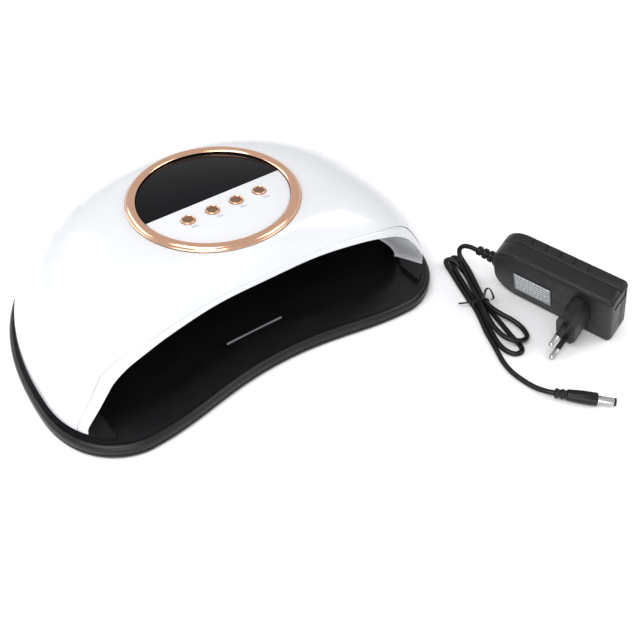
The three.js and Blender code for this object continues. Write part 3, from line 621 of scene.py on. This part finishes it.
# The bezel: a lip with a soft roll, the return face behind it and a thin back rim.
BEZEL_COUNT = 180
grow_rows = [
    # (grow from the fold, depth behind the dome's face); rows run from the seam inwards
    (BEZEL_LIP, 1.6), (BEZEL_LIP, 0.35), (BEZEL_LIP - 0.35, 0), (2.6, -0.12), (1.2, -0.06),
    (0.55, 0.05), (0.18, 0.35), (0, 0.85),
]
rows = []
for grow, depth in grow_rows:
    profile = arch_profile(grow, grow, BEZEL_COUNT)
    rows.append([Vector((x, front_y(x, z) + depth, z)) for x, z in profile])
fold = rows[-1]
inner_profile = arch_profile(-FUNNEL_SIDE, -FUNNEL_TOP, BEZEL_COUNT)
for t in (0.25, 0.5, 0.75, 0.93):
    rows.append([
        f.lerp(Vector((x, BEZEL_BACK_Y, z)), t) for f, (x, z) in zip(fold, inner_profile)
    ])
rim = arch_profile(-FUNNEL_SIDE - 0.5, -FUNNEL_TOP - 0.5, BEZEL_COUNT)
rows.append([Vector((x, BEZEL_BACK_Y - 0.7, z)) for x, z in rim])
rows.append([Vector((x, BEZEL_BACK_Y - 0.1, z)) for x, z in rim])
outside = arch_profile(-FUNNEL_SIDE + 2.2, -FUNNEL_TOP + 2.2, BEZEL_COUNT)
rows.append([Vector((x, BEZEL_BACK_Y, z)) for x, z in outside])
behind = arch_profile(BEZEL_LIP - 0.4, BEZEL_LIP - 0.4, BEZEL_COUNT)
rows.append([Vector((x, front_y(x, z) + 2.4, z)) for x, z in behind])
bezel_loops = [[row[i] for row in rows] for i in range(BEZEL_COUNT + 1)]
bezel = loft("bezel_lip", bezel_loops, white, "head", degrees=32)
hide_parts("front_bezel")

# ---- The black liner of the cavity, with its LED openings ---------------------------------------
LINER_INSET, LINER_BACK, LINER_WALL, LINER_TOP, LINER_TOP_RADIUS = 13, 26, 2, 80.0, 46
LED_PITCH, LED_HOLE, LED_SIDES = 20.0, 5.2, 40
LINER = dome(LINER_INSET, LINER_TOP, LINER_TOP_RADIUS, LINER_BACK)
CAVITY = dome(LINER_INSET + LINER_WALL, LINER_TOP - LINER_WALL, LINER_TOP_RADIUS - 1,
              LINER_BACK + LINER_WALL)


def board_frame(index, step, height, offset):
    """A board's place on the liner: along its face, up it, and out of the cavity."""
    columns = LINER[0]
    before, column, after = columns[index - step], columns[index], columns[index + step]
    point = dome_at(LINER, column, height)
    along = (dome_at(LINER, after, height) - dome_at(LINER, before, height)).normalized()
    up = (dome_at(LINER, column, height + 4) - point).normalized()
    out = along.cross(up).normalized()
    rise = out.cross(along).normalized()
    matrix = Matrix((along, rise, out)).transposed().to_4x4()
    matrix.translation = point + out * offset
    return matrix


def bead_spots(columns, count):
    return [
        ((i - (columns - 1) / 2) * LED_PITCH, (j - (count - 1) / 2) * LED_PITCH)
        for i in range(columns) for j in range(count)
    ]


def closed_dome(shape, steps, below=0.0):
    """The loops of a solid dome, whose foot can reach further down."""
    loops = dome_loops(shape, steps)
    if below:
        loops.insert(0, [p - Vector((0, 0, below)) for p in loops[0]])
    return loops


def solid_helper(loops):
    count = len(loops[0])
    points = [p for loop in loops for p in loop]
    last = (len(loops) - 1) * count
    faces = grid_faces(len(loops), count)
    faces += [tuple(range(count)), tuple(range(last, last + count))]
    return helper(points, faces)


def box_helper(low, high):
    return prism_helper(
        [(low[0], low[1]), (high[0], low[1]), (high[0], high[1]), (low[0], high[1])],
        "Z", low[2], high[2],
    )


# Each board's place, its columns and rows of LEDs, and how far in front of it they sit.
BOARDS = {
    "top": (Matrix.Translation((0, RING_Y, LINER_TOP + GAP)), 4, 3, LINER_WALL + GAP + 0.8),
    "right": (board_frame(RIGHT_SIDE + 2 * FINE, FINE, 36, 3.6), 3, 1, 6.4),
    "left": (board_frame(len(LINER[0]) - RIGHT_SIDE - 2 * FINE, FINE, 36, 3.6), 3, 1, 6.4),
    "back": (board_frame(len(LINER[0]) // 2, FINE, 38, 3.6), 3, 2, 6.4),
}

front = BEZEL_BACK_Y + GAP
liner = loft("liner_skin", closed_dome(LINER, 24), cavity_black, "head", degrees=180)
boolean(liner, box_helper((-200, front, -10), (200, 200, 200)), "INTERSECT")
cavity = solid_helper(closed_dome(CAVITY, 28, 5))
boolean(cavity, box_helper((-200, front + LINER_WALL, -10), (200, 200, 200)), "INTERSECT")
boolean(liner, cavity)
grown = arch_profile(-FUNNEL_SIDE, -FUNNEL_TOP, 120)
inner_foot = ARCH_HALF - FUNNEL_SIDE
cut_shape = [*grown, (-inner_foot, SHELL_BOTTOM - 5), (inner_foot, SHELL_BOTTOM - 5)]
boolean(liner, prism_helper(cut_shape, "Y", front - 5, front + LINER_WALL + 3))
hole_points, hole_faces = [], []
for matrix, columns, count, _ in BOARDS.values():
    for x, y in bead_spots(columns, count):
        first = len(hole_points)
        ends = [[matrix @ Vector((*p, z)) for p in circle(LED_HOLE, x, y, LED_SIDES)] for z in (-12, 1)]
        hole_points += ends[0] + ends[1]
        faces = grid_faces(2, LED_SIDES)
        faces += [tuple(range(LED_SIDES)), tuple(range(LED_SIDES, 2 * LED_SIDES))]
        hole_faces += [tuple(first + i for i in face) for face in faces]
boolean(liner, helper(hole_points, hole_faces))
boolean(liner, prism_helper(circle(3.3, 0, RING_Y, 40), "Z", LINER_TOP - 6, LINER_TOP + 2))
shade(liner.data, 38)
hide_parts("inner_liner")


def many(name, profile, places, material, body, sides=32):
    """Copies of one turned shape as a single piece."""
    shape = rounded(profile, 0.3)
    points, faces = [], []
    for place in places:
        first = len(points)
        for r, z in shape:
            for p in circle(max(r, 0.001), 0, 0, sides):
                points.append(place @ Vector((*p, z)))
        faces += [tuple(first + i for i in face) for face in grid_faces(len(shape), sides)]
    obj = make(name, points, faces, material, body, 40)
    return obj


cup_profile = [(4.95, 1.6), (4.95, -0.25), (4.6, -0.45), (3.9, -0.1), (3.7, 0.7), (4.95, 1.6)]
lens_profile = [(3.72, 0.9), (3.72, -0.1), (3.4, -0.8), (2.6, -1.35), (1.4, -1.65), (0, -1.75)]
for side, (matrix, columns, count, bead_in) in BOARDS.items():
    spots = bead_spots(columns, count)
    places = [matrix @ Matrix.Translation((x, y, -bead_in)) for x, y in spots]
    many(f"led_cups_{side}", cup_profile, places, led_cup, "head")
    many(f"led_lenses_{side}", lens_profile, places, lens_clear, "head")

# ---- The round control panel --------------------------------------------------------------------
PANEL_TOP, PANEL_BOTTOM = 97.4, 95.4
RING_FOOT = SHELL_TOP + GAP
to_panel = Matrix.Translation((0, RING_Y, 0))
ring = lathe("display_ring_fine", [
    (RING_INNER + 0.4, RING_FOOT - 4), (RING_INNER + 2.9, RING_FOOT - 4),
    (RING_INNER + 2.9, RING_FOOT), (RING_RADIUS, RING_FOOT), (RING_RADIUS, RING_FOOT + 0.7),
    (RING_RADIUS - 0.5, RING_FOOT + 0.9), (RING_RADIUS - 0.75, RING_FOOT + 1.6),
    (RING_RADIUS - 1.4, RING_FOOT + 2.4), (RING_RADIUS - 2.4, RING_FOOT + 3.0),
    (RING_RADIUS - 3.6, RING_FOOT + 3.3), (RING_RADIUS - 4.8, RING_FOOT + 3.2),
    (RING_RADIUS - 5.9, RING_FOOT + 2.75), (RING_RADIUS - 6.6, RING_FOOT + 2.2),
    (RING_INNER, RING_FOOT + 1.8), (RING_INNER, PANEL_TOP + GAP),
    (RING_INNER + 0.4, PANEL_TOP + GAP), (RING_INNER + 0.4, RING_FOOT - 4),
], rose_gold, "head", to_panel, sides=256, radius=0.5, degrees=50)
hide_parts("display_ring")

WINDOW_EDGE = -1.0
BUTTON_Y = WINDOW_EDGE - 12.4
BUTTON_XS = [-26.4, -8.8, 8.8, 26.4]


def half_panel(name, side, material):
    """A half disc that fills the ring on one side of the window's edge."""
    radius = RING_INNER - GAP
    edge = WINDOW_EDGE + side * GAP / 2
    start = math.asin(edge / radius)
    turns = [start + (math.pi - 2 * start) * k / 128 for k in range(129)]
    if side < 0:
        turns = [math.pi - start + (math.pi + 2 * start) * k / 128 for k in range(129)]
    shape = [(radius * math.cos(t), RING_Y + radius * math.sin(t)) for t in turns]
    middle_of_half = Vector((0, RING_Y + side * 20))
    levels = (
        (0.0, PANEL_BOTTOM), (0.0, PANEL_TOP - 0.25), (0.08, PANEL_TOP - 0.07), (0.25, PANEL_TOP),
    )
    loops = []
    for inset, z in levels:
        loops.append([
            Vector((*(Vector(p) + (middle_of_half - Vector(p)).normalized() * inset), z))
            for p in shape
        ])
    return loft(name, loops, material, "head", degrees=60)


window = half_panel("window_glass", 1, gloss_black)
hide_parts("display_window")
panel = half_panel("panel_white", -1, white_satin)
for x in BUTTON_XS:
    boolean(panel, prism_helper(circle(4.8, x, RING_Y + BUTTON_Y, 64), "Z", 90, 105))
shade(panel.data, 40)
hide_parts("button_panel")

FLANGE_TOP = PANEL_BOTTOM - GAP
STEM_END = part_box("button_1")[0].z / MM
for i, x in enumerate(BUTTON_XS, 1):
    place = Matrix.Translation((x, RING_Y + BUTTON_Y, 0))
    rim = lathe(f"button_{i}_rim", [
        (0, STEM_END), (1.6, STEM_END), (1.6, FLANGE_TOP - 1), (5.7, FLANGE_TOP - 1),
        (5.7, FLANGE_TOP), (4.5, FLANGE_TOP), (4.5, PANEL_TOP + 0.55), (4.25, PANEL_TOP + 1.0),
        (3.85, PANEL_TOP + 1.2), (3.5, PANEL_TOP + 0.95), (3.4, PANEL_TOP + 0.6),
        (0, PANEL_TOP + 0.6),
    ], rose_gold, f"button_{i}", place, sides=96, radius=0.12)
    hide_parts(f"button_{i}")
    face = lathe(f"button_{i}_face", [
        (3.32, PANEL_TOP + 0.62), (3.32, PANEL_TOP + 0.86), (3.1, PANEL_TOP + 0.98),
        (2.2, PANEL_TOP + 0.99), (0, PANEL_TOP + 1.0),
    ], rose_cap, f"button_{i}", place, sides=96, radius=0.1)


def printed_text(name, words, size, x, y):
    """Flat printed numerals on the panel."""
    data = bpy.data.curves.new(name, "FONT")
    data.body = words
    data.size = size * MM
    data.extrude = 0.01 * MM
    data.align_x = "CENTER"
    data.align_y = "CENTER"
    text = new_object(name + "_text", data)
    text.location = (x * MM, y * MM, (PANEL_TOP + 0.03) * MM)
    bpy.context.view_layer.update()
    mesh = bpy.data.meshes.new_from_object(text)
    mesh.transform(text.matrix_world)
    bpy.data.objects.remove(text)
    mesh.materials.clear()
    mesh.materials.append(panel_print)
    obj = new_object(name, mesh)
    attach(obj, "head")


for x, words in zip(BUTTON_XS, ("99s", "10s", "30s", "60s")):
    printed_text(f"numeral_{words}", words, 3.4, x + 0.5, RING_Y + BUTTON_Y - 7.8)

# ---- The base -----------------------------------------------------------------------------------
LEDGE_IN = SHELL_INSET + LINER_INSET + LINER_WALL + 1
tray_section = [
    (0.8, 3.9), (0, 4.7), (0, 7.4), (0.8, 9.5), (2.6, 10.6), (4.2, 10), (LEDGE_IN, 10),
    (LEDGE_IN + 5, 8.9), (LEDGE_IN + 11, 6.5), (LEDGE_IN + 17, 5.1), (LEDGE_IN + 23, 4.6),
]
tray_loops = [
    [Vector((*p, z)) for p in outline(inset)] for inset, z in rounded(tray_section, 1.6, 4)
]
tray = loft("tray_moulding", tray_loops, black_base, "base", degrees=60)
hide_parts("base_tray")


def round_bar(name, low, high, radius, material, body, matrix=None):
    """A bar with rounded long edges and ends, in millimetres."""
    matrix = matrix or Matrix.Identity(4)
    loops = []
    steps = 5
    levels = [
        (radius * (1 - math.sin(k / steps * math.pi / 2)),
         low[2] + radius * (1 - math.cos(k / steps * math.pi / 2)))
        for k in range(steps + 1)
    ]
    levels += [(inset, high[2] - (z - low[2])) for inset, z in reversed(levels)]
    for inset, z in levels:
        loop = []
        corner = max(radius - inset, 0.02)
        x0, x1 = low[0] + inset + corner, high[0] - inset - corner
        y0, y1 = low[1] + inset + corner, high[1] - inset - corner
        for cx, cy, start in ((x1, y0, -90), (x1, y1, 0), (x0, y1, 90), (x0, y0, 180)):
            for k in range(steps + 1):
                t = math.radians(start + 90 * k / steps)
                spot = (cx + corner * math.cos(t), cy + corner * math.sin(t), z)
                loop.append(matrix @ Vector(spot))
        loops.append(loop)
    obj = loft(name, loops, material, body, degrees=40)
    return obj


# The light line on the tray.
round_bar(
    "tray_bar", (-22.5, -70.3, 4.4), (22.5, -68.7, 7.1), 0.5, label_silver, "base",
)

plate_loops = [
    [Vector((*p, z)) for p in outline(inset)]
    for inset, z in rounded([(30, 1.2), (0.7, 1.2), (0.2, 1.8), (0.2, 3.6), (30, 3.6)], 0.3)
]
plate = loft("plate_moulding", plate_loops, black_base, "base", degrees=50)
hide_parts("base_plate")


def middle(node):
    low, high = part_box(node)
    return (low + high) / 2 / MM


for i in range(1, 5):
    spot = middle(f"rubber_foot_{i}")
    pad = lathe(
        f"foot_pad_{i}", [(0, 0.02), (7.4, 0.02), (8, 0.5), (8, 1.5), (0, 1.5)], rubber, "base",
        Matrix.Translation((spot.x, spot.y, 0)), radius=0.3,
    )
    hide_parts(f"rubber_foot_{i}")

# ---- The power adapter --------------------------------------------------------------------------
ADAPTER_LENGTH, ADAPTER_HEIGHT, ADAPTER_DEPTH, ADAPTER_EDGE = 92.5, 53, 22, 3
CORD_X, CORD_Z, RELIEF_LENGTH = 8.4, 24, 18
BLOCK_DEPTH, BLOCK_Y, BLOCK_Z, PIN_SPACING, PIN_LENGTH = 19, -70.0, 27.4, 19, 19
CASE_SPLIT, CORD_CORNER, FAR_CORNER = 12.5, 19, 4
tilt, turn = math.radians(22), math.radians(13)
settle = -ADAPTER_EDGE * (math.cos(tilt) + math.sin(tilt) - 1)
to_adapter = (
    Matrix.Translation((173.1, -129.3, settle))
    @ Matrix.Rotation(turn, 4, "Z") @ Matrix.Rotation(-tilt, 4, "Y")
)


def case_loop(inset, x, steps=14):
    """The side view of the case, with much rounder corners where the cord leaves."""
    near, far = -inset, -ADAPTER_LENGTH + inset
    low, high = inset, ADAPTER_HEIGHT - inset
    loop = []
    big, small = CORD_CORNER - inset, FAR_CORNER - inset
    corners_at = (
        (near - big, low + big, big, -90), (near - big, high - big, big, 0),
        (far + small, high - small, small, 90), (far + small, low + small, small, 180),
    )
    for cy, cz, radius, start in corners_at:
        for k in range(steps + 1):
            t = math.radians(start + 90 * k / steps)
            spot = (x, cy + radius * math.cos(t), cz + radius * math.sin(t))
            loop.append(to_adapter @ Vector(spot))
    return loop


def case_half(name, face, split):
    toward = math.copysign(1, split - face)
    loops = []
    steps = 8
    for k in range(steps + 1):
        t = k / steps * math.pi / 2
        inset = ADAPTER_EDGE * (1 - math.sin(t))
        loops.append(case_loop(inset, face + toward * ADAPTER_EDGE * (1 - math.cos(t))))
    loops += [case_loop(0, split - toward * 0.35), case_loop(0.12, split - toward * 0.08),
              case_loop(0.4, split)]
    return loft(name, loops, adapter_black, "base", degrees=50)


def adapter_box(low, high):
    """A block in the adapter's own frame, to cut with."""
    corners_of = [
        Vector((x, y, z)) for x in (low[0], high[0]) for y in (low[1], high[1])
        for z in (low[2], high[2])
    ]
    faces = [(0, 1, 3, 2), (4, 6, 7, 5), (0, 4, 5, 1), (2, 3, 7, 6), (0, 2, 6, 4), (1, 5, 7, 3)]
    return helper([to_adapter @ c for c in corners_of], faces)


case_front = case_half("adapter_front", 0, CASE_SPLIT)
case_back = case_half("adapter_back", ADAPTER_DEPTH, CASE_SPLIT + GAP)
for k in range(5):  # the grooves over the top edge of the back half
    y = -24 - 10.5 * k
    boolean(case_back, adapter_box((15.5, y - 0.7, ADAPTER_HEIGHT - 0.9), (30, y + 0.7, 60)))
    boolean(case_back, adapter_box((ADAPTER_DEPTH - 0.9, y - 0.7, 41), (30, y + 0.7, 60)))
for half in (case_front, case_back):  # the recess in the far end and the seam across it
    boolean(half, adapter_box((4, -95, 40), (18, -ADAPTER_LENGTH + 0.5, 49)))
    boolean(half, adapter_box((-1, -87.4, -2), (23, -87.0, 0.35)))
    shade(half.data, 40)
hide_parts("adapter_case_front")
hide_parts("adapter_case_back")

block = refined("plug_block", "plug_block_fine", adapter_black, "base", 0.7, 4)

ROOT = -BLOCK_DEPTH - GAP
SLEEVE_END = ROOT - PIN_LENGTH * 0.5
TIP = -BLOCK_DEPTH - PIN_LENGTH
for i, side in enumerate((1, -1), 1):
    axis = (
        to_adapter @ Matrix.Translation((0, BLOCK_Y, BLOCK_Z + side * PIN_SPACING / 2))
        @ Matrix.Rotation(math.pi / 2, 4, "Y")
    )
    sleeve = lathe(f"sleeve_fine_{i}", [
        (1.7, SLEEVE_END), (1.95, SLEEVE_END), (1.95, ROOT), (1.7, ROOT), (1.7, SLEEVE_END),
    ], adapter_black, "base", axis, radius=0.1)
    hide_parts(f"pin_sleeve_{i}")
    pin = lathe(f"pin_fine_{i}", [
        (0, TIP), (0.8, TIP + 0.12), (1.4, TIP + 0.55), (1.8, TIP + 1.2), (2.0, TIP + 2.0),
        (2.0, SLEEVE_END - 0.3), (1.4, SLEEVE_END - 0.3), (1.4, -9), (0, -9),
    ], nickel, "base", axis, radius=0.4)
    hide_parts(f"plug_pin_{i}")

to_label = to_adapter @ Matrix(((0, 0, -1, 0), (0, 1, 0, 0), (1, 0, 0, 0), (0, 0, 0, 1)))
label = round_bar(
    "label_plate", (13, -47.5, 0.35), (34, -18.5, 0.7), 0.12, label_silver, "base",
    to_label,
)
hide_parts("rating_label")
# Plain bars in rows, which stand for the print.
BAR_FACES = (
    (0, 1, 2, 3), (4, 7, 6, 5), (0, 4, 5, 1), (1, 5, 6, 2), (2, 6, 7, 3), (3, 7, 4, 0),
)
print_points, print_faces = [], []
for row in range(6):
    y = -19.9
    k = 0
    while y > -45.5:
        width = 1.3 + 1.5 * ((row * 5 + k * 3) % 4) / 3
        width = min(width, y + 46.6)
        z0, z1 = 31.6 - row * 3.2, 31.6 - row * 3.2 + (1.5 if row % 3 else 1.9)
        first = len(print_points)
        for depth in (-0.68, -0.74):
            bar = ((y, z0), (y - width, z0), (y - width, z1), (y, z1))
            print_points += [to_adapter @ Vector((depth, yy, zz)) for yy, zz in bar]
        print_faces += [tuple(first + v for v in face) for face in BAR_FACES]
        y -= width + 0.7
        k += 1
marks = make("label_marks", print_points, print_faces, label_print, "base", 30)

relief_profile = [(0, -3), (4.4, -3), (4.4, -2.3), (3, -2.3), (3, 0.3), (5.6, 0.3), (4.9, 2.6)]
z = 2.8
while z < RELIEF_LENGTH - 4:
    radius = 4.5 - 1.4 * z / RELIEF_LENGTH
    relief_profile += [
        (radius - 0.9, z + 0.4), (radius - 0.9, z + 1.6), (radius, z + 2), (radius, z + 4.6),
    ]
    z += 5
relief_profile += [(2.4, RELIEF_LENGTH), (0, RELIEF_LENGTH)]
to_relief = (
    to_adapter @ Matrix.Translation((CORD_X, 0, CORD_Z)) @ Matrix.Rotation(-math.pi / 2, 4, "X")
)
relief = lathe("relief_fine", relief_profile, cord_black, "base", to_relief)
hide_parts("strain_relief")

# ---- The low-voltage plug -----------------------------------------------------------------------
to_plug = (
    Matrix.Translation((125.1, -230.8, 4.5))
    @ Matrix.Rotation(math.radians(-48.3), 4, "Z") @ Matrix.Rotation(math.pi / 2, 4, "Y")
)
housing = lathe("plug_housing_fine", [
    (0, 0), (2.9, 0), (3.3, 0.8), (3.3, 2.2), (2.7, 2.6), (2.7, 3.8), (3.4, 4.2), (3.4, 5.8),
    (2.9, 6.2), (2.9, 7.4), (3.7, 7.9), (4.4, 17), (4.4, 26.4), (3.9, 27), (3.05, 27),
    (3.05, 23), (0, 23),
], cord_black, "base", to_plug)
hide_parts("dc_plug_housing")
barrel = lathe("plug_barrel_fine", [
    (1.25, 23.3), (2.75, 23.3), (2.75, 37.1), (1.25, 37.1), (1.25, 23.3),
], nickel, "base", to_plug, radius=0.15)
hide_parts("dc_plug_barrel")
tip = lathe("plug_tip_fine", [
    (1.25, 37.4), (2.75, 37.4), (2.65, 38.6), (1.25, 38.6), (1.25, 37.4),
], adapter_black, "base", to_plug, radius=0.2)
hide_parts("dc_plug_tip")

# ---- CAD nodes that stay as they are ------------------------------------------------------------
KEPT = {
    "head_frame": black_base, "display_housing": cavity_black, "dc_jack": black,
    "head_magnet_left": steel, "head_magnet_right": steel, "strike_plate_left": steel,
    "strike_plate_right": steel, "hand_sensor": gloss_black, "power_wires": copper,
    "control_board": board_green, "digit_display": gloss_black, "adapter_board": board_green,
    "adapter_transformer": copper, "adapter_capacitor": steel,
}
KEPT.update({f"led_board_{side}": board_white for side in BOARDS})
KEPT.update({f"plate_screw_{i}": steel for i in range(1, 5)})
KEPT.update({f"tact_switch_{i}": steel for i in range(1, 5)})
for node, material in KEPT.items():
    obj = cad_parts[node]
    obj.data.materials.clear()
    obj.data.materials.append(material)

# ---- Floor and light ----------------------------------------------------------------------------
floor_mesh = bpy.data.meshes.new("floor")
floor_mesh.from_pydata([(-4, -4, 0), (4, -4, 0), (4, 4, 0), (-4, 4, 0)], [], [(0, 1, 2, 3)])
floor_material = principled("floor_pale", **{"Roughness": 0.9, "Specular IOR Level": 0.1})
add_noise(floor_material, 3, (0.90, 0.90, 0.905), (0.92, 0.92, 0.925), "Base Color")
floor_mesh.materials.append(floor_material)
floor = new_object("floor", floor_mesh)

AIM = Vector((0.02, -0.05, 0.05))


def softbox(name, place, size, power):
    """A rectangular light that faces the lamp."""
    data = bpy.data.lights.new(name, "AREA")
    data.shape = "RECTANGLE"
    data.size, data.size_y = size
    data.energy = power
    lamp = new_object(name, data)
    lamp.location = place
    lamp.rotation_euler = (AIM - Vector(place)).to_track_quat("-Z", "Y").to_euler()


softbox("key", (-0.7, -0.35, 1.25), (1.0, 0.8), 13)
softbox("fill", (0.95, -0.8, 0.95), (0.8, 0.8), 6)
softbox("back", (-0.75, 0.95, 0.7), (1.1, 0.5), 5)
softbox("low", (-0.75, -1.0, 0.3), (0.8, 0.4), 5)

world = bpy.data.worlds.new("studio")
scene.world = world
world.use_nodes = True
background = world.node_tree.nodes["Background"]
background.inputs["Color"].default_value = (0.97, 0.98, 1.0, 1)
background.inputs["Strength"].default_value = 0.7
